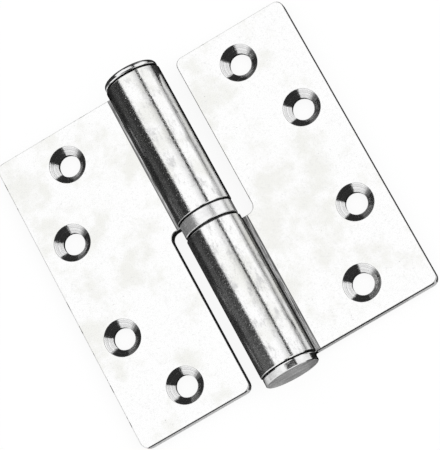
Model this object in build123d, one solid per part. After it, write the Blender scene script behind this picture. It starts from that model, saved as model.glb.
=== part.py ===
from build123d import *
import math
import os

# Ball bearing butt hinge of the lift-off kind, opened flat, in millimetres.
# The hinge axis runs along Y, the leaves lie level with their countersunk faces up
# along +Z, and the knuckles' lowest line is at Z = 0. The right leaf carries the lower
# knuckle and the pin, the left leaf carries the upper knuckle and lifts off along +Y.

# Leaves
leaf_height = 100.0            # along the hinge axis
leaf_reach = 50.8              # from the hinge axis to the outer edge
leaf_thickness = 4.0
leaf_corner_radius = 2.5
face_edge_rounding = 0.35      # along the edges of the countersunk face
back_edge_rounding = 0.2

# Knuckles, rolled from the leaf's own plate with the back face outside
knuckle_radius = 9.0
knuckle_drop = 1.35            # how far a knuckle hangs below its leaf's back
knuckle_bend_radius = 6.0      # of the hollow between the knuckle and the leaf's back
knuckle_overrun = 0.2          # how far a knuckle stands past its leaf's end
knuckle_edge_chamfer = 0.3
seam_gap = 0.3                 # between the rolled end and the leaf's face

# Notch in each leaf, beside the other leaf's knuckle
notch_clearance = 4.35         # from the other knuckle to the notch's edge
notch_end_step = 0.65          # from the knuckle's inner end to the notch's end

# Countersunk screw holes: a zigzag of four on each leaf
screw_hole_radius = 3.45
countersink_radius = 5.8
countersink_half_angle = 45.0
end_hole_from_edge = 20.25     # holes nearest the leaf's ends, from the outer edge
end_hole_from_end = 11.0
middle_hole_from_edge = 10.25  # holes nearest the middle, from the outer edge
middle_hole_from_end = 33.2

# Hinge pin, pressed into the lower knuckle
pin_press_clearance = 0.01     # radial, in the lower knuckle
pin_running_clearance = 0.08   # radial, in the upper knuckle and the bearing
pin_engagement = 35.5          # how far the pin stands past the bearing
pin_tip_chamfer = 1.5
pin_foot_chamfer = 0.5

# Thrust ball bearing between the knuckles
bearing_height = 5.4
shell_upper_gap = 0.3          # from the shell to the upper knuckle
shell_lower_gap = 0.75         # from the shell to the lower knuckle
shell_step = 0.25              # how much smaller the shell is than the knuckles
shell_wall = 0.5
shell_edge_chamfer = 0.2
race_bore_clearance = 0.15     # radial, over the pin
race_press_clearance = 0.02    # radial, of the upper race in the shell
race_running_clearance = 0.25  # radial, of the lower race in the shell
race_lip = 0.415               # flat left beside the groove of the narrower race
race_face_gap = 0.9            # between the two races' faces
ball_running_clearance = 0.05
ball_spacing = 0.9             # smallest distance between two neighbouring balls
cage_thickness = 0.5
cage_side_setback = 0.1        # radial, inside both edges of the narrower race
cage_pocket_clearance = 0.08

# End caps: a collar seats on the knuckle's end and a plug fills its bore
cap_step = 0.25                # how much smaller a cap is than the knuckle
top_cap_height = 2.4           # from the knuckle's end to the outer face
bottom_cap_height = 2.9
cap_rim_gap = 0.25             # from the knuckle's end to the rim round the collar
cap_rim_rounding = 0.5
top_cap_rounding = 1.2
bottom_cap_chamfer = 0.25
collar_width = 1.5             # of the seat round the bore
plug_length = 5.0
plug_clearance = 0.03          # radial
plug_lead_chamfer = 0.5
pin_foot_gap = 0.3             # between the bottom cap's plug and the pin

# Worked out from the sizes above
axis_height = knuckle_radius
leaf_back = knuckle_drop
leaf_face = leaf_back + leaf_thickness
bore_radius = knuckle_radius - leaf_thickness
leaf_end = leaf_height / 2
knuckle_outer_end = leaf_end + knuckle_overrun
knuckle_inner_end = bearing_height / 2
knuckle_length = knuckle_outer_end - knuckle_inner_end
round_meets_face = math.sqrt(knuckle_radius**2 - (axis_height - leaf_face)**2)
notch_edge = knuckle_radius + notch_clearance
notch_end = knuckle_inner_end + notch_end_step
pin_radius = bore_radius - pin_running_clearance
pin_seat_radius = bore_radius - pin_press_clearance
shell_radius = knuckle_radius - shell_step
shell_bore_radius = shell_radius - shell_wall
race_bore_radius = pin_radius + race_bore_clearance
upper_race_radius = shell_bore_radius - race_press_clearance
lower_race_radius = shell_bore_radius - race_running_clearance
ball_pitch_radius = (race_bore_radius + lower_race_radius) / 2
groove_radius = (lower_race_radius - race_bore_radius) / 2 - race_lip
ball_radius = groove_radius - ball_running_clearance
ball_count = int(2 * math.pi * ball_pitch_radius / (2 * ball_radius + ball_spacing))
cap_radius = knuckle_radius - cap_step
collar_radius = bore_radius + collar_width
plug_radius = bore_radius - plug_clearance


def on_circle(radius, degrees, y):
    """Point on a circle about the hinge axis, seen along the axis, 0 degrees at +X."""
    turn = math.radians(degrees)
    return (radius * math.cos(turn), y, axis_height + radius * math.sin(turn))


def angle_at(radius, height):
    """Where a circle about the hinge axis crosses a height on the +X side, in degrees."""
    return math.degrees(math.asin((height - axis_height) / radius))


def rolled_knuckle(y_start, length):
    """The plate's rolled end: a full turn of the sheet that stops just short of the face."""
    seam_top = leaf_face + seam_gap
    outer_end = angle_at(knuckle_radius, seam_top)
    inner_end = angle_at(bore_radius, seam_top)
    inner_start = 360.0 + angle_at(bore_radius, leaf_face)
    # The hollow bend touches the round and the leaf's back.
    bend_reach = knuckle_radius + knuckle_bend_radius
    outer_start = 360.0 + angle_at(bend_reach, leaf_back - knuckle_bend_radius)
    bend_x = bend_reach * math.cos(math.radians(outer_start))
    outer = ThreePointArc(
        on_circle(knuckle_radius, outer_start, y_start),
        on_circle(knuckle_radius, (outer_start + outer_end) / 2, y_start),
        on_circle(knuckle_radius, outer_end, y_start),
    )
    inner = ThreePointArc(
        on_circle(bore_radius, inner_end, y_start),
        on_circle(bore_radius, (inner_start + inner_end) / 2, y_start),
        on_circle(bore_radius, inner_start, y_start),
    )
    cut_end = Line(outer @ 1, inner @ 0)
    face_side = Line(inner @ 1, (round_meets_face, y_start, leaf_face))
    joint_side = Line(face_side @ 1, (round_meets_face, y_start, leaf_back))
    back_side = Line(joint_side @ 1, (bend_x, y_start, leaf_back))
    bend = TangentArc(back_side @ 1, outer @ 0, tangent=(-1, 0, 0))
    section = make_face([outer, cut_end, inner, face_side, joint_side, back_side, bend])
    knuckle = extrude(section, amount=length, dir=(0, 1, 0))
    arcs = knuckle.edges().filter_by(GeomType.CIRCLE)
    rims = arcs.filter_by(lambda arc: not math.isclose(arc.radius, bore_radius))
    back_ends = knuckle.edges().filter_by(Axis.X).group_by(Axis.Z)[0]
    return chamfer(rims + back_ends, knuckle_edge_chamfer)


def leaf_plate():
    """The flat of the leaf, with its notch, rounded corners and eased edges."""
    root = round_meets_face / 2
    outline = Polyline(
        (root, -leaf_end),
        (leaf_reach, -leaf_end),
        (leaf_reach, leaf_end),
        (notch_edge, leaf_end),
        (notch_edge, -notch_end),
        (root, -notch_end),
        close=True,
    )
    flat = Pos(0, 0, leaf_back) * make_face(outline)
    flat = fillet(flat.vertices().group_by(Axis.X)[1:], leaf_corner_radius)
    plate = extrude(flat, amount=leaf_thickness)
    # The first edge along X is the root, which lies inside the knuckle and stays sharp.
    face_rim = plate.edges().group_by(Axis.Z)[-1].sort_by(Axis.X)[1:]
    plate = fillet(face_rim, face_edge_rounding)
    back_rim = plate.edges().group_by(Axis.Z)[0].sort_by(Axis.X)[1:]
    return fillet(back_rim, back_edge_rounding)


def countersink_tool():
    """Cutter for one screw hole: a straight hole that opens into a cone at the face."""
    cone_height = (countersink_radius - screw_hole_radius) / math.tan(
        math.radians(countersink_half_angle)
    )
    below, above = -leaf_thickness, 2 * leaf_face
    section = make_face(
        Polyline(
            (0, below),
            (screw_hole_radius, below),
            (screw_hole_radius, leaf_face - cone_height),
            (countersink_radius, leaf_face),
            (countersink_radius, above),
            (0, above),
            close=True,
        )
    )
    return revolve(Plane.XZ * section, Axis.Z)


def screw_hole_places():
    """Centres of the four holes on the right leaf, from the top end down."""
    end_x = leaf_reach - end_hole_from_edge
    end_y = leaf_end - end_hole_from_end
    middle_x = leaf_reach - middle_hole_from_edge
    middle_y = leaf_end - middle_hole_from_end
    return [(end_x, end_y), (middle_x, middle_y), (middle_x, -middle_y), (end_x, -end_y)]


def leaf():
    """The right leaf. The left leaf is the same pressing turned half round."""
    blank = leaf_plate() + rolled_knuckle(-knuckle_outer_end, knuckle_length)
    cutter = countersink_tool()
    for x, y in screw_hole_places():
        blank -= Pos(x, y, 0) * cutter
    return blank


def turned(section):
    """A piece turned about the hinge axis, from its section of radius and place along it."""
    return Pos(0, 0, axis_height) * revolve(section, Axis.Y)


def turned_from(points):
    """A turned piece with straight flanks, from its section's corners."""
    return turned(make_face(Polyline(*points, close=True)))


def hinge_pin():
    """Pin with a larger seat in the lower knuckle and a tapered tip."""
    foot = -knuckle_outer_end + plug_length + pin_foot_gap
    shoulder = -knuckle_inner_end
    tip = knuckle_inner_end + pin_engagement
    return turned_from([
        (0, foot),
        (pin_seat_radius - pin_foot_chamfer, foot),
        (pin_seat_radius, foot + pin_foot_chamfer),
        (pin_seat_radius, shoulder),
        (pin_radius, shoulder),
        (pin_radius, tip - pin_tip_chamfer),
        (pin_radius - pin_tip_chamfer, tip),
        (0, tip),
    ])


def race(outer_radius, side):
    """Grooved washer on one side of the balls: side is +1 above them and -1 below."""
    seat = side * knuckle_inner_end
    face = side * race_face_gap / 2
    washer = make_face(
        Polyline(
            (race_bore_radius, face),
            (outer_radius, face),
            (outer_radius, seat),
            (race_bore_radius, seat),
            close=True,
        )
    )
    groove = Pos(ball_pitch_radius, 0) * Circle(groove_radius)
    return turned(washer - groove)


def bearing_shell():
    """Plain ring that closes the bearing, pressed on the upper race."""
    low = -knuckle_inner_end + shell_lower_gap
    high = knuckle_inner_end - shell_upper_gap
    return turned_from([
        (shell_bore_radius, low),
        (shell_radius - shell_edge_chamfer, low),
        (shell_radius, low + shell_edge_chamfer),
        (shell_radius, high - shell_edge_chamfer),
        (shell_radius - shell_edge_chamfer, high),
        (shell_bore_radius, high),
    ])


def ball_angles():
    """Even spacing of the balls round the axis, in degrees."""
    return [360.0 * i / ball_count for i in range(ball_count)]


def ball(degrees):
    """One ball of the bearing."""
    return Pos(*on_circle(ball_pitch_radius, degrees, 0)) * Sphere(ball_radius)


def ball_cage():
    """Flat ring with a round pocket for each ball."""
    half = cage_thickness / 2
    inner = race_bore_radius + cage_side_setback
    outer = lower_race_radius - cage_side_setback
    cage = turned_from([(inner, -half), (outer, -half), (outer, half), (inner, half)])
    pocket = Rot(X=90) * Cylinder(ball_radius + cage_pocket_clearance, 2 * cage_thickness)
    for degrees in ball_angles():
        cage -= Pos(*on_circle(ball_pitch_radius, degrees, 0)) * pocket
    return cage


def corner_at(section, radius, place):
    """The corner of a section that lies nearest to a point."""
    return section.vertices().sort_by_distance((radius, place, 0))[0]


def cap_section(side, height):
    """Section of an end cap with sharp outer edge: side is +1 at the top, -1 at the bottom."""
    seat = side * knuckle_outer_end
    rim = seat + side * cap_rim_gap
    outer_face = seat + side * height
    plug_end = seat - side * plug_length
    section = make_face(
        Polyline(
            (0, outer_face),
            (cap_radius, outer_face),
            (cap_radius, rim),
            (collar_radius, rim),
            (collar_radius, seat),
            (plug_radius, seat),
            (plug_radius, plug_end),
            (0, plug_end),
            close=True,
        )
    )
    section = fillet(corner_at(section, cap_radius, rim), cap_rim_rounding)
    return chamfer(corner_at(section, plug_radius, plug_end), plug_lead_chamfer)


def top_cap():
    """Cap with a well rounded outer edge, in the upper knuckle."""
    section = cap_section(1, top_cap_height)
    outer_face = knuckle_outer_end + top_cap_height
    return turned(fillet(corner_at(section, cap_radius, outer_face), top_cap_rounding))


def bottom_cap():
    """Flat cap with a small chamfer, in the lower knuckle."""
    section = cap_section(-1, bottom_cap_height)
    outer_face = -knuckle_outer_end - bottom_cap_height
    return turned(chamfer(corner_at(section, cap_radius, outer_face), bottom_cap_chamfer))


def build_parts():
    """Every separate piece of the hinge, by name."""
    right_leaf = leaf()
    parts = {
        "right_leaf": right_leaf,
        "left_leaf": Rot(Z=180) * right_leaf,
        "hinge_pin": hinge_pin(),
        "lower_race": race(lower_race_radius, -1),
        "upper_race": race(upper_race_radius, 1),
        "bearing_shell": bearing_shell(),
        "ball_cage": ball_cage(),
        "top_cap": top_cap(),
        "bottom_cap": bottom_cap(),
    }
    for number, degrees in enumerate(ball_angles(), start=1):
        parts[f"ball_{number:02d}"] = ball(degrees)
    return parts


os.makedirs("parts", exist_ok=True)
for name, piece in build_parts().items():
    export_step(piece, f"parts/{name}.step")
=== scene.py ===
"""Lift-off ball bearing butt hinge, opened flat on a white floor, dressed around its solids."""

import math

import bpy
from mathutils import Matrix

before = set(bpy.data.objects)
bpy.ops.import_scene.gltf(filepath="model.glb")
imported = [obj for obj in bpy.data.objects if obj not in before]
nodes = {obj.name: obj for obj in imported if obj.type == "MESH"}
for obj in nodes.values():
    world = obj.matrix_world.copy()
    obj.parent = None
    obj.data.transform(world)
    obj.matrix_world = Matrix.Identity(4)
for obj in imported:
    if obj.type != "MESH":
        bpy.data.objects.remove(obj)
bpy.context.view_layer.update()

# Sizes of the hinge that the finishes follow, in millimetres
AXIS_HEIGHT = 9.0
KNUCKLE_RADIUS = 9.0
KNUCKLE_INNER_END = 2.7      # along the axis, from the middle of the hinge
KNUCKLE_OUTER_END = 50.2
LEAF_BACK = 1.35
LEAF_FACE = 5.35
LEAF_END = 50.0              # along the axis
LEAF_REACH = 50.8            # across it
FACE_ROUNDING = 0.35         # of the edges round the face
HOLE_PLACES = ((30.55, 39.0), (40.55, 16.8))  # each stands for four holes, in both directions
COUNTERSINK_RADIUS = 5.8
TOP_CAP_END = 52.6
TOP_CAP_ROUND_START = 51.1   # where the top cap's side turns into its rounded edge
BOTTOM_CAP_END = -53.1
TOP_CAP_TAPER = (TOP_CAP_ROUND_START, 0.6)  # up to where, and the slope that its side seems to have
BOTTOM_CAP_TAPER = (0.0, 0.2)

# Marks of the making, and of the painted shade beside the knuckle, in millimetres
CREASE_SHADE_END = 8.95            # of the near black line where the leaf meets its knuckle, painted shade in that crease
SHADE_STRIP_END = 10.5              # of the dull strip beside it, painted darker as painted shade next to the knuckle
TOOL_MARK_PITCH = 0.25       # of the rings that the countersink tool left
TOOL_MARK_DEPTH = 0.088

# Flanks, where one finish softly gives way to the next: start and end, in millimetres
COUNTERSINK_RIM = (COUNTERSINK_RADIUS, COUNTERSINK_RADIUS + 0.05)
WALL_FOOT = (LEAF_BACK + 0.02, LEAF_BACK + 0.1)
WALL_TOP = (LEAF_FACE - FACE_ROUNDING - 0.1, LEAF_FACE - FACE_ROUNDING + 0.15)
FACE_FROM = (LEAF_FACE - 0.1, LEAF_FACE - 0.05)
FACE_UP_TO = (LEAF_FACE + 0.02, LEAF_FACE + 0.1)
LEFT_EDGE = (-LEAF_REACH + 0.5, -LEAF_REACH + 0.7)
RIGHT_EDGE = (LEAF_REACH - 0.3, LEAF_REACH - 0.15)
UPPER_EDGE = (LEAF_END - 0.6, LEAF_END - 0.4)
LOWER_EDGE = (-LEAF_END + 0.15, -LEAF_END + 0.3)
END_WALLS = (LEAF_END - 0.5, LEAF_END - 0.3)
KNUCKLE_SIDE = (KNUCKLE_RADIUS + 0.02, KNUCKLE_RADIUS + 0.1)
KNUCKLE_SKIN = (KNUCKLE_RADIUS + 0.05, KNUCKLE_RADIUS + 0.3)
KNUCKLE_INNER_RIM = (KNUCKLE_INNER_END + 0.04, KNUCKLE_INNER_END + 0.08)
KNUCKLE_OUTER_RIM = (KNUCKLE_OUTER_END - 0.08, KNUCKLE_OUTER_END - 0.04)
CREASE_SHADE_STOP = (CREASE_SHADE_END - 0.1, CREASE_SHADE_END + 0.1)
SHADE_STRIP_STOP = (SHADE_STRIP_END - 0.12, SHADE_STRIP_END + 0.08)
SHADE_STRIP_DARK_SIDE = (SHADE_STRIP_END - 0.6, SHADE_STRIP_END - 0.1)
CAP_END_FACE = (-0.06, -0.02)  # from the cap's end

# Bands: start, end and the softness of both sides, in millimetres
EASED_EDGE = (LEAF_FACE - FACE_ROUNDING, LEAF_FACE - 0.015, 0.01)
PAINTED_DARK_EDGE = (LEAF_FACE - 0.9, LEAF_FACE - 0.03, 0.02)
NOTCH_STEP = (KNUCKLE_RADIUS, 13.0, 0.1)                # across, at the notch's end
UPPER_KNUCKLE_RIM = (0.0, KNUCKLE_INNER_END + 0.17, 0.03)  # along, beside the ring
LEFT_FLANK_SHADE = (-8.4, -6.4, 0.4)                          # across, on the knuckles' left flanks, painted darker as a painted reflection
HANDLED_STRIP = (-8.3, -4.6, 0.5)

# Floor, in metres and in levels of light
FLOOR_SIZE = 8.0
FLOOR_DROP = 0.0001
FLOOR_PAINT = 0.12           # what the camera sees of the paint, so that a shadow still shows
FLOOR_GLOW = 0.9
FLOOR_PAINT_IN_METAL = 0.85
FLOOR_GLOW_IN_METAL = 0.1

# Dark sheets on the floor, painted shade that only the metal mirrors: level, then reach along X and along
# Y, in metres
SHEET_END = -0.0502          # level with the lower knuckle's end
PAINTED_SHADE_SHEETS = {
    "painted_shade_under": (0.04, (-3.0, 0.061), (SHEET_END, 3.0)),
    "painted_shade_right": (0.66, (0.061, 0.35), (SHEET_END, 3.0)),
    "painted_shade_foot": (0.02, (0.004, 0.04), (-0.08, SHEET_END)),
}

# Room that the metal mirrors. Its dark walls are in degrees: start, end and, of bands, softness
ROOM_LIGHT = 1.02
ROOM_DARK = 0.03
PLAIN_LIGHT = 0.7            # on everything that isn't a mirror
DEGREES = 180 / math.pi
LEFT_WALL_EDGE = (-32.0, -28.0)
LEFT_WALL_LEAN = 40.0        # how far its edge turns for each unit of +Y in the direction
LEFT_WALL_FADE = (-0.28, 0.18)        # units of +Y in the direction
GLEAM_BAND = (0.12, 0.205, 0.012)     # units of +Y in the direction
GLEAM_LEVEL = 0.9
HAZE_START = (4.0, 32.0)
HAZE_STOP = (38.0, 42.0)
HAZE_LEVEL = 0.3
STREAK_BAND = (31.5, 42.0, 0.8)
FRONT_WALL_TURN = (-27.0, 67.0, 3.0)
FRONT_WALL_CLIMB = (29.0, 55.0, 4.0)
FRONT_SCREEN_ROLL = (-5.0, 38.0, 5.0)
FRONT_SCREEN_FADE = (-0.19, -0.08)    # units of +Y in the direction
BACK_WALL_TURN = (-6.0, 47.0, 3.0)
BACK_WALL_TOP = (32.0, 37.0)
BACK_FOOT_TURN = (-80.0, 49.0, 3.0)
BACK_FOOT_TOP = (19.0, 25.0)
BACK_FOOT_LEVEL = 0.9

# Lamp, high on the right
LAMP_PLACE = (0.5, -0.2, 1.0)
LAMP_TURN = (11, 26, 0)      # in degrees
LAMP_SIZE = 0.9
LAMP_POWER = 3.5

# Camera: the photograph's view, from above and turned by 28.5 degrees
CAMERA_PLACE = (0.08916, -0.19378, 0.73304)
CAMERA_TURN = (9.6549, 13.0206, -28.4576)
CAMERA_LENS = 206.46
CAMERA_SENSOR = 36.0


def grey(level):
    return (level, level, level, 1.0)


class Bench:
    """Adds nodes to one tree and joins them up."""

    def __init__(self, tree):
        self.tree = tree
        tree.nodes.clear()

    def add(self, kind, inputs=(), **settings):
        """A new node. Each input is a socket with a value or with another node's output."""
        node = self.tree.nodes.new("ShaderNode" + kind)
        for name, value in settings.items():
            setattr(node, name, value)
        for socket, value in inputs:
            if isinstance(value, bpy.types.NodeSocket):
                self.tree.links.new(value, node.inputs[socket])
            else:
                node.inputs[socket].default_value = value
        return node

    def math(self, operation, a, b=0.0):
        return self.add("Math", [(0, a), (1, b)], operation=operation).outputs[0]

    def product(self, first, *others):
        result = first
        for other in others:
            result = self.math("MULTIPLY", result, other)
        return result

    def largest(self, first, *others):
        result = first
        for other in others:
            result = self.math("MAXIMUM", result, other)
        return result

    def length(self, a, b):
        """Length of the diagonal over two sides."""
        return self.math("SQRT", self.math("ADD", self.product(a, a), self.product(b, b)))

    def ease(self, value, low, high, start, end):
        """Goes softly from start to end as the value goes from low to high."""
        inputs = [("Value", value), ("From Min", low), ("From Max", high)]
        inputs += [("To Min", start), ("To Max", end)]
        return self.add("MapRange", inputs, interpolation_type="SMOOTHSTEP").outputs["Result"]

    def rises(self, value, low, high):
        """0 up to low and 1 from high on."""
        return self.ease(value, low, high, 0.0, 1.0)

    def falls(self, value, low, high):
        """1 up to low and 0 from high on."""
        return self.ease(value, low, high, 1.0, 0.0)

    def between(self, value, low, high, soft):
        """1 between low and high, 0 outside, with soft flanks."""
        above_low = self.rises(value, low - soft, low + soft)
        below_high = self.falls(value, high - soft, high + soft)
        return self.product(above_low, below_high)

    def noise(self, place, scale, detail=2.0, rough=0.6):
        """Cloudy pattern from 0 to 1. Scale is how many clouds lie on a unit of the place."""
        inputs = [("Vector", place), ("Scale", scale), ("Detail", detail), ("Roughness", rough)]
        return self.add("TexNoise", inputs).outputs["Fac"]

    def blend(self, factor, a, b):
        """Blends two colours or levels."""
        node = self.add("Mix", [("Factor", factor)], data_type="RGBA")
        for socket, value in ((6, a), (7, b)):
            if isinstance(value, bpy.types.NodeSocket):
                self.tree.links.new(value, node.inputs[socket])
            else:
                node.inputs[socket].default_value = value
        return node.outputs[2]

    def coats(self, first, *others):
        """Lays colours or levels over the first one, each as thick as its mask says."""
        result = first
        for mask, coat in others:
            result = self.blend(mask, result, coat)
        return result


class Finish(Bench):
    """A metal finish worked out from the piece's own coordinates, in millimetres."""

    edge_tint = 0.0  # how bright the metal is where it turns away from the eye

    def __init__(self, name):
        self.material = bpy.data.materials.new(name)
        self.material.use_nodes = True
        super().__init__(self.material.node_tree)
        source = self.add("TexCoord").outputs["Object"]
        self.place = self.add("VectorMath", [(0, source), ("Scale", 1000.0)], operation="SCALE").outputs[0]
        self.x, self.y, self.z = self.add("SeparateXYZ", [(0, self.place)]).outputs

    def stretched(self, x, y, z):
        """The piece's coordinates with another scale along each axis, for long or flat patterns."""
        return self.add("Mapping", [("Vector", self.place), ("Scale", (x, y, z))]).outputs["Vector"]

    def from_axis(self):
        """Distance from the hinge axis."""
        return self.length(self.x, self.math("SUBTRACT", self.z, AXIS_HEIGHT))

    def from_hole(self):
        """Distance from the middle of the nearest screw hole."""
        across = self.math("ABSOLUTE", self.x)
        along = self.math("ABSOLUTE", self.y)
        distances = [
            self.length(self.math("SUBTRACT", across, hole_x), self.math("SUBTRACT", along, hole_y))
            for hole_x, hole_y in HOLE_PLACES
        ]
        return self.math("MINIMUM", *distances)

    def close(self, colour, roughness, bumps, metallic=1.0):
        """Joins colour, roughness and bumps to the shader.

        Each bump is a height and its depth in millimetres, from the broadest to the finest.
        """
        shader = self.add("BsdfPrincipled", [
            ("Base Color", colour),
            ("Roughness", roughness),
            ("Metallic", metallic),
            ("Specular Tint", grey(self.edge_tint)),
        ])
        normal = shader.inputs["Normal"]
        for height, depth in reversed(bumps):
            bump = self.add("Bump", [("Height", height), ("Distance", depth / 1000), ("Strength", 1.0)])
            self.tree.links.new(bump.outputs[0], normal)
            normal = bump.inputs["Normal"]
        self.add("OutputMaterial", [("Surface", shader.outputs[0])])
        return self.material


class LeafSteel(Finish):
    """Satin sheet with faint mottling, polished knuckle, sheared walls and turned countersinks."""

    def __init__(self):
        super().__init__("leaf_steel")
        self.across = self.math("ABSOLUTE", self.x)
        self.along = self.math("ABSOLUTE", self.y)
        self.reach = self.from_hole()
        self.specks = self.noise(self.place, 1.6, 3.0)
        self.streaks = self.noise(self.stretched(5.0, 5.0, 0.35), 1.0, 3.0)
        self.rings = self.noise(self.add("CombineXYZ", [(0, self.reach)]).outputs[0], 4.0)
        self.mark_places()

    def mark_places(self):
        """Masks from 0 to 1 that say where each kind of surface lies."""
        outside_holes = self.rises(self.reach, *COUNTERSINK_RIM)
        above_back = self.rises(self.z, *WALL_FOOT)
        beside_knuckle = self.rises(self.across, *KNUCKLE_SIDE)
        self.wall = self.product(outside_holes, self.falls(self.z, *WALL_TOP), above_back, beside_knuckle)
        self.end_wall = self.product(self.wall, self.rises(self.along, *END_WALLS))
        self.sunk = self.product(self.falls(self.reach, *COUNTERSINK_RIM), above_back)

        # The far edges, on the left and at the upper ends, are rubbed dull in places
        far_side = self.largest(
            self.falls(self.x, *LEFT_EDGE),
            self.rises(self.y, *UPPER_EDGE),
            self.between(self.x, *NOTCH_STEP),
        )
        rubbed = self.rises(self.noise(self.place, 0.25, 3.0, 0.7), 0.34, 0.46)
        eased = self.between(self.z, *EASED_EDGE)
        self.rubbed_edge = self.product(outside_holes, eased, beside_knuckle, far_side, rubbed)

        # On the other two sides the edges' rounding is painted near black, a painted dark reflection
        near_side = self.largest(self.falls(self.y, *LOWER_EDGE), self.rises(self.x, *RIGHT_EDGE))
        self.painted_dark_edge = self.product(self.between(self.z, *PAINTED_DARK_EDGE), near_side, beside_knuckle)

        self.knuckle = self.falls(self.from_axis(), *KNUCKLE_SKIN)
        knuckle_ends = self.largest(
            self.falls(self.along, *KNUCKLE_INNER_RIM),
            self.between(self.y, *UPPER_KNUCKLE_RIM),
            self.rises(self.along, *KNUCKLE_OUTER_RIM),
        )
        self.knuckle_end_shade = self.product(self.knuckle, knuckle_ends)

        on_face = self.product(self.rises(self.z, *FACE_FROM), self.falls(self.z, *FACE_UP_TO))
        self.dull_shade_strip = self.product(on_face, self.falls(self.across, *SHADE_STRIP_STOP))
        self.crease_shade = self.product(on_face, self.falls(self.across, *CREASE_SHADE_STOP))

    def tone(self):
        """Colour of the metal: the satin face first, then each mark and place coat by coat."""
        clouds = self.rises(self.noise(self.place, 0.09, 4.0), 0.46, 0.66)
        specks = self.rises(self.specks, 0.5, 0.75)
        nicks = self.rises(self.noise(self.stretched(0.7, 1.2, 1.0), 1.1, 5.0, 0.75), 0.65, 0.7)
        stains = self.rises(self.noise(self.stretched(1.0, 0.5, 1.0), 0.35, 6.0, 0.75), 0.49, 0.65)
        streaks = self.rises(self.streaks, 0.3, 0.7)
        rolling = self.rises(self.noise(self.stretched(3.0, 0.12, 3.0), 1.0, 3.0), 0.38, 0.62)
        rolled_marks_and_shade = self.blend(rolling, grey(0.18), grey(0.75))
        return self.coats(
            grey(0.98),
            (clouds, (0.89, 0.89, 0.86, 1.0)),
            (self.product(specks, 0.5), grey(0.8)),
            (self.product(nicks, 0.8), grey(0.5)),
            (self.product(self.knuckle, stains), grey(0.68)),
            # The knuckles' left flanks are painted darker: a painted reflection of the dark side of the
            # room
            (self.product(self.knuckle, self.between(self.x, *LEFT_FLANK_SHADE)), grey(0.5)),
            # The side walls' dark grey is partly the sheared metal with its streaks and partly painted
            # shade
            (self.wall, self.blend(streaks, grey(0.22), grey(0.42))),
            (self.end_wall, self.blend(streaks, grey(0.6), grey(0.85))),
            # The rounding of the near edges is painted near black: a painted dark reflection
            (self.painted_dark_edge, grey(0.05)),
            # The dull strip beside the knuckle is painted dark and mottled, with a near black line on its
            # outer side: painted shade next to the knuckle
            (self.dull_shade_strip, self.coats(rolled_marks_and_shade, (self.rises(self.across, *SHADE_STRIP_DARK_SIDE), grey(0.12)))),
            # The crease is painted near black: painted shade where the leaf meets its knuckle
            (self.crease_shade, grey(0.03)),
            (self.sunk, self.blend(self.rises(self.rings, 0.3, 0.62), grey(0.5), grey(1.0))),
            # The knuckles' ends are painted near black: painted shade in the gaps at the ring and at the
            # caps
            (self.knuckle_end_shade, grey(0.04)),
        )

    def roughness(self):
        """How dull each place is, from 0 for a mirror to 1."""
        satin = self.ease(self.specks, 0.3, 0.8, 0.12, 0.18)
        scuffed = self.ease(self.noise(self.place, 2.2, 4.0, 0.7), 0.5, 0.72, 0.07, 0.42)
        handled = self.product(self.between(self.x, *HANDLED_STRIP), 0.22)
        return self.coats(
            satin,
            (self.knuckle, self.largest(scuffed, handled)),
            (self.rubbed_edge, grey(0.5)),
            (self.wall, grey(0.42)),
            (self.dull_shade_strip, grey(0.4)),
            (self.sunk, grey(0.1)),
            (self.knuckle_end_shade, grey(0.5)),
        )

    def bumps(self):
        """Heights, each with its depth in millimetres."""
        waves = self.noise(self.place, 0.5, 1.0, 0.5)
        dents = self.noise(self.place, 1.5)
        grain = self.noise(self.stretched(5.0, 0.5, 5.0), 1.0)
        pores = self.noise(self.place, 3.5, 2.0, 0.7)
        ramp = self.math("FRACT", self.product(self.reach, 1 / TOOL_MARK_PITCH))
        tool_marks = self.math("SUBTRACT", 1.0, ramp)
        return [
            (waves, 0.008),
            (dents, 0.018),
            (grain, 0.009),
            (self.product(pores, self.knuckle), 0.011),
            (self.product(self.streaks, self.wall), 0.03),
            (self.product(self.rings, self.sunk), 0.02),
            (self.product(tool_marks, self.sunk), TOOL_MARK_DEPTH),
        ]

    def finished(self):
        dull = self.ease(self.largest(self.end_wall, self.rubbed_edge), 0.0, 1.0, 1.0, 0.25)
        return self.close(self.tone(), self.roughness(), self.bumps(), dull)


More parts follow.
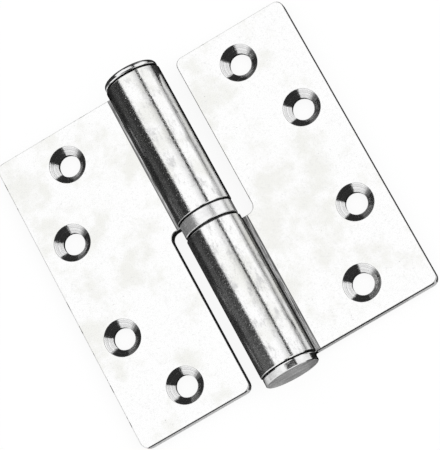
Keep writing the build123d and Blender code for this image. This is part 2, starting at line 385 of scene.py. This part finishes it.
def turned_steel(
    name, greys, roughness, ring_pitch, ring_depth, metallic=1.0, wave_depth=0.02, dull_shaded_end=None, taper=None
):
    """Steel turned about the hinge axis, with fine rings round it and across its ends.

    greys are the clean and the clouded metal, and roughness goes from the smoothest ring to the
    dullest. dull_shaded_end is the place of a matt, smear-marked end along the axis and its grey,
    which is partly the metal's own and partly painted shade. taper is the place
    up to which the side seems to lean, and its slope.
    """
    f = Finish(name)
    lathe = f.add("CombineXYZ", [(0, f.from_axis()), (1, f.y)]).outputs[0]
    rings = f.noise(lathe, 1 / ring_pitch)
    clean, clouded = greys
    smoothest, dullest = roughness
    tone = f.blend(f.rises(f.noise(f.place, 0.5, 3.0), 0.35, 0.7), grey(clean), grey(clouded))
    rough = f.ease(rings, 0.3, 0.7, smoothest, dullest)
    if dull_shaded_end is not None:
        # The end face's darker grey is partly its matt, smear-marked metal and partly painted shade
        place, level = dull_shaded_end
        outward = f.math("SUBTRACT", f.product(f.y, math.copysign(1.0, place)), abs(place))
        end = f.rises(outward, *CAP_END_FACE)
        smears = f.noise(f.stretched(0.25, 1.0, 1.0), 0.5, 4.0, 0.7)
        smeared_and_shaded = f.coats(
            grey(level * 0.5),
            (f.rises(smears, 0.34, 0.66), grey(level * 1.15)),
            (f.product(f.rises(rings, 0.3, 0.7), 0.25), grey(level * 1.2)),
        )
        tone = f.blend(end, tone, smeared_and_shaded)
        rough = f.blend(end, rough, grey(0.5))
        metallic = f.ease(end, 0.0, 1.0, metallic, 0.25)
    bumps = [(f.noise(f.place, 0.8, 2.0, 0.5), wave_depth), (rings, ring_depth)]
    if taper is not None:
        limit, slope = taper
        bumps.append((f.math("MINIMUM", f.y, limit), slope))
    return f.close(tone, rough, bumps, metallic)


def ball_steel():
    """Polished bearing steel, with the faint bands that rolling leaves."""
    f = Finish("ball_steel")
    marks = f.noise(f.place, 6.0, 3.0)
    tone = f.blend(f.rises(marks, 0.4, 0.7), grey(0.86), grey(0.7))
    return f.close(tone, f.ease(marks, 0.3, 0.8, 0.04, 0.14), [(marks, 0.002)])


def cage_brass():
    """Pressed brass strip, a little dulled by grease."""
    f = Finish("cage_brass")
    stains = f.noise(f.place, 1.2, 4.0)
    scratches = f.noise(f.stretched(1.0, 9.0, 1.0), 2.0)
    tone = f.blend(f.rises(stains, 0.35, 0.7), (0.80, 0.60, 0.30, 1.0), (0.55, 0.38, 0.17, 1.0))
    return f.close(tone, f.ease(stains, 0.3, 0.8, 0.22, 0.42), [(scratches, 0.01)])


def dress(names, material):
    for name in names:
        piece = nodes[name]
        piece.data.materials.clear()
        piece.data.materials.append(material)


CAP_GREYS = (0.93, 0.84)
CAP_ROUGHNESS = (0.08, 0.16)
CAP_RINGS = (0.2, 0.006)  # pitch and depth
top_cap_steel = turned_steel(
    "cap_steel_top", CAP_GREYS, CAP_ROUGHNESS, *CAP_RINGS,
    dull_shaded_end=(TOP_CAP_END, 0.6), taper=TOP_CAP_TAPER,
)
bottom_cap_steel = turned_steel(
    "cap_steel_bottom", CAP_GREYS, CAP_ROUGHNESS, *CAP_RINGS,
    wave_depth=0.04, dull_shaded_end=(BOTTOM_CAP_END, 0.42), taper=BOTTOM_CAP_TAPER,
)
dress(["left_leaf", "right_leaf"], LeafSteel().finished())
dress(["bearing_shell"], turned_steel("ring_steel", (0.97, 0.88), (0.12, 0.2), 0.12, 0.03, metallic=0.78))
dress(["top_cap"], top_cap_steel)
dress(["bottom_cap"], bottom_cap_steel)
dress(["hinge_pin"], turned_steel("pin_steel", (0.78, 0.66), (0.12, 0.22), 0.25, 0.006))
# The races are painted near black: painted shade in the gap between the knuckles, where they show
dress(["lower_race", "upper_race"], turned_steel("race_steel", (0.06, 0.03), (0.25, 0.4), 0.2, 0.008))
dress(["ball_cage"], cage_brass())
dress([name for name in nodes if name.startswith("ball_") and name != "ball_cage"], ball_steel())


def rectangle(name, size, middle, material):
    """A level rectangle beside or under the hinge."""
    bpy.ops.object.select_all(action="DESELECT")
    bpy.ops.mesh.primitive_plane_add(size=1.0, location=middle)
    piece = bpy.context.object
    piece.scale = (*size, 1)
    bpy.ops.object.transform_apply(location=True, scale=True)
    piece.name = name
    piece.data.materials.append(material)
    return piece


def floor_paint():
    """White floor that looks white to the camera and in the metal, and still keeps a soft shadow."""
    material = bpy.data.materials.new("floor_white")
    material.use_nodes = True
    b = Bench(material.node_tree)
    path = b.add("LightPath")
    to_camera = path.outputs["Is Camera Ray"]
    mirrored = b.largest(path.outputs["Is Glossy Ray"], path.outputs["Is Transmission Ray"])
    tone = b.blend(to_camera, grey(FLOOR_PAINT_IN_METAL), grey(FLOOR_PAINT))
    paint = b.add("BsdfDiffuse", [("Color", tone)])
    strength = b.math("ADD", b.product(to_camera, FLOOR_GLOW), b.product(mirrored, FLOOR_GLOW_IN_METAL))
    glow = b.add("Emission", [("Color", grey(1.0)), ("Strength", strength)])
    both = b.add("AddShader", [(0, paint.outputs[0]), (1, glow.outputs[0])])
    b.add("OutputMaterial", [("Surface", both.outputs[0])])
    return material


def painted_shade_glow(name, level):
    """Even dark glow that no lamp changes, as painted shade."""
    material = bpy.data.materials.new(name)
    material.use_nodes = True
    b = Bench(material.node_tree)
    glow = b.add("Emission", [("Color", grey(level)), ("Strength", 1.0)])
    b.add("OutputMaterial", [("Surface", glow.outputs[0])])
    return material


def painted_shade_sheet(name, level, reach_x, reach_y):
    """Sheet lying on the floor beside the hinge, which only the metal sees: painted shade of the floor
    around the hinge.
    """
    size = (reach_x[1] - reach_x[0], reach_y[1] - reach_y[0])
    middle = (sum(reach_x) / 2, sum(reach_y) / 2, 0)
    sheet = rectangle(name, size, middle, painted_shade_glow(name, level))
    sheet.visible_camera = False
    sheet.visible_diffuse = False
    sheet.visible_shadow = False
    sheet.visible_transmission = False


floor = rectangle("floor", (FLOOR_SIZE, FLOOR_SIZE), (0, 0, -FLOOR_DROP), floor_paint())
for sheet_name, (sheet_level, sheet_x, sheet_y) in PAINTED_SHADE_SHEETS.items():
    painted_shade_sheet(sheet_name, sheet_level, sheet_x, sheet_y)


def dark_walls(b, way):
    """Where the room has dark walls, from 0 to 1, by the direction in which the metal mirrors it."""
    x, y, z = b.add("SeparateXYZ", [(0, way)]).outputs
    roll = b.product(b.math("ARCTAN2", x, z), DEGREES)                    # from straight up, towards +X
    climb = b.product(b.math("ARCSINE", z), DEGREES)                      # above the horizon
    front = b.product(b.math("ARCTAN2", x, b.product(y, -1.0)), DEGREES)  # from -Y, towards +X
    back = b.product(b.math("ARCTAN2", x, y), DEGREES)                    # from +Y, towards +X

    # The broad dark band along the knuckles' left flanks, with a faint gleam across it
    lean = b.math("ADD", roll, b.product(y, LEFT_WALL_LEAN))
    gleam = b.ease(b.between(y, *GLEAM_BAND), 0.0, 1.0, 1.0, GLEAM_LEVEL)
    left_wall = b.product(b.falls(lean, *LEFT_WALL_EDGE), b.rises(y, *LEFT_WALL_FADE), gleam)

    # The thin dark streak right of their middle, in a soft haze
    haze = b.product(b.rises(roll, *HAZE_START), b.falls(roll, *HAZE_STOP), HAZE_LEVEL)
    streak = b.between(roll, *STREAK_BAND)

    # The dark parts of the countersinks and of the caps' edges
    front_wall = b.product(b.between(front, *FRONT_WALL_TURN), b.between(climb, *FRONT_WALL_CLIMB))
    front_screen = b.product(b.between(roll, *FRONT_SCREEN_ROLL), b.falls(y, *FRONT_SCREEN_FADE))
    back_wall = b.product(b.between(back, *BACK_WALL_TURN), b.falls(climb, *BACK_WALL_TOP))
    foot_height = b.ease(climb, *BACK_FOOT_TOP, BACK_FOOT_LEVEL, 0.0)
    back_foot = b.product(b.between(back, *BACK_FOOT_TURN), foot_height)
    return b.largest(left_wall, haze, streak, front_wall, front_screen, back_wall, back_foot)


def studio_world():
    """White to the camera, plain for soft light, and a room of white and dark walls in the metal."""
    world = bpy.data.worlds.new("studio")
    bpy.context.scene.world = world
    world.use_nodes = True
    b = Bench(world.node_tree)
    path = b.add("LightPath")
    way = b.add("TexCoord").outputs["Generated"]
    room = b.blend(dark_walls(b, way), grey(ROOM_LIGHT), grey(ROOM_DARK))
    plain = b.blend(path.outputs["Is Glossy Ray"], grey(PLAIN_LIGHT), room)
    seen = b.blend(path.outputs["Is Camera Ray"], plain, grey(1.0))
    background = b.add("Background", [("Color", seen), ("Strength", 1.0)])
    b.add("OutputWorld", [("Surface", background.outputs[0])])


def in_radians(turn):
    return [math.radians(angle) for angle in turn]


def soft_lamp():
    """One wide soft lamp that the metal doesn't mirror."""
    bpy.ops.object.light_add(type="AREA", location=LAMP_PLACE)
    lamp = bpy.context.object
    lamp.name = "soft_lamp"
    lamp.rotation_euler = in_radians(LAMP_TURN)
    lamp.data.size = LAMP_SIZE
    lamp.data.energy = LAMP_POWER
    lamp.visible_glossy = False


def photograph_camera():
    """Camera that shows the hinge as the photograph does."""
    camera_data = bpy.data.cameras.new("camera")
    camera_data.sensor_width = CAMERA_SENSOR
    camera_data.sensor_fit = "HORIZONTAL"
    camera_data.lens = CAMERA_LENS
    camera = bpy.data.objects.new("camera", camera_data)
    camera.location = CAMERA_PLACE
    camera.rotation_euler = in_radians(CAMERA_TURN)
    bpy.context.scene.collection.objects.link(camera)
    bpy.context.scene.camera = camera


studio_world()
soft_lamp()
photograph_camera()
bpy.context.scene.view_settings.view_transform = "Standard"
